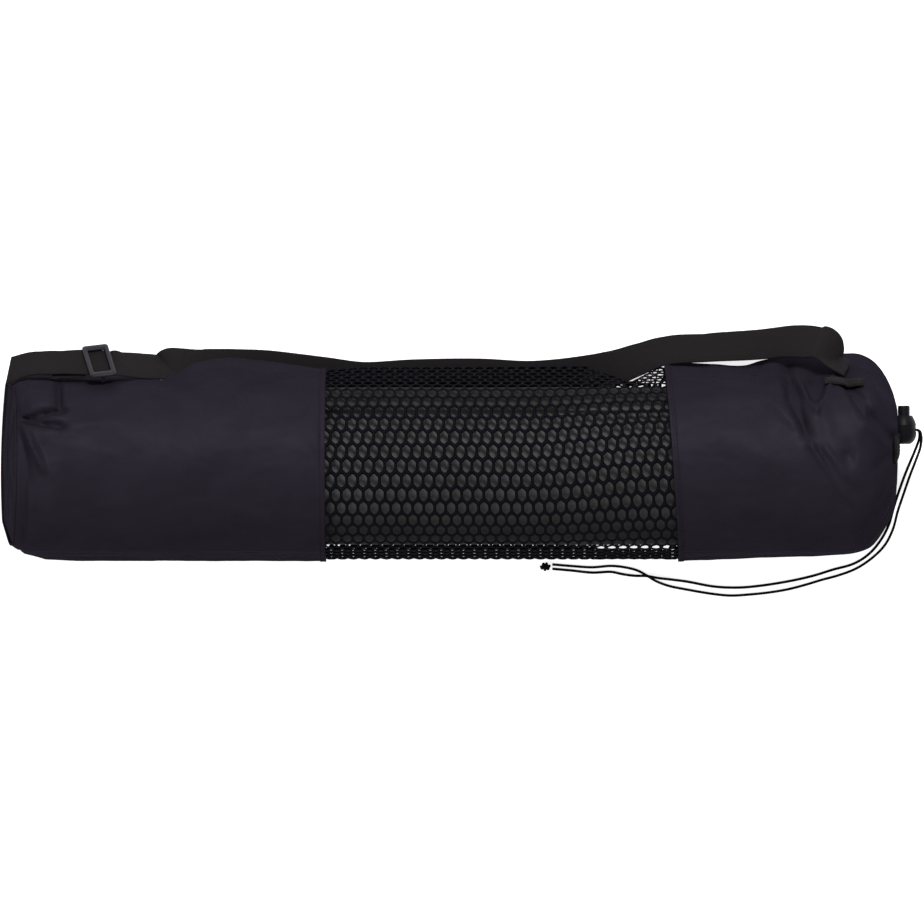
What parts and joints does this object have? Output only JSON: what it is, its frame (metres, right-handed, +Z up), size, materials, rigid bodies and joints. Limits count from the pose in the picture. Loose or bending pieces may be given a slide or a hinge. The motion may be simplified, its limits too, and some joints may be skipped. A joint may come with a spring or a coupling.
{
  "type": "yoga mat bag with rolled mat",
  "caption": "Long soft tube bag with an open net middle, drawcord mouth with a cord lock and an adjustable shoulder strap, lying on its side round a rolled exercise mat.",
  "frame": {"origin": "on the floor, under the middle of the bag without its free cord", "axes": "+X along the bag towards its drawn mouth, +Y towards the shoulder strap, +Z up from the floor"},
  "size_m": [0.6733, 0.2, 0.1265],
  "materials": {
    "cloth": "dark charcoal nylon cloth with a soft sheen",
    "net": "matt dark knitted net",
    "webbing": "matt woven webbing",
    "plastic": "satin black moulded plastic",
    "cord": "matt black braided cord",
    "foam": "matt dark closed-cell foam"
  },
  "bodies": {
    "bag": {"base_sleeve": "cloth", "base_panel": "cloth", "net_sleeve": "net", "mouth_sleeve": "cloth", "drawcord_casing": "cloth", "drawcord_loop": "cord", "cord_lock_body": "plastic", "drawcord_strand_a": "cord", "drawcord_strand_b": "cord", "drawcord_knot": "cord", "shoulder_strap": "webbing", "strap_slider": "plastic", "strap_tail": "webbing", "mouth_tab": "webbing", "casing_tab": "webbing", "rolled_mat": "foam"},
    "lock_plunger": {"cord_lock_plunger": "plastic"}
  },
  "joints": [
    {"name": "plunger_press", "type": "slide", "parent": "bag", "child": "lock_plunger", "axis": [0, -1, 0], "range_m": [0, 0.0035], "stiffness_N_per_m": 400, "springref_m": -0.003}
  ]
}
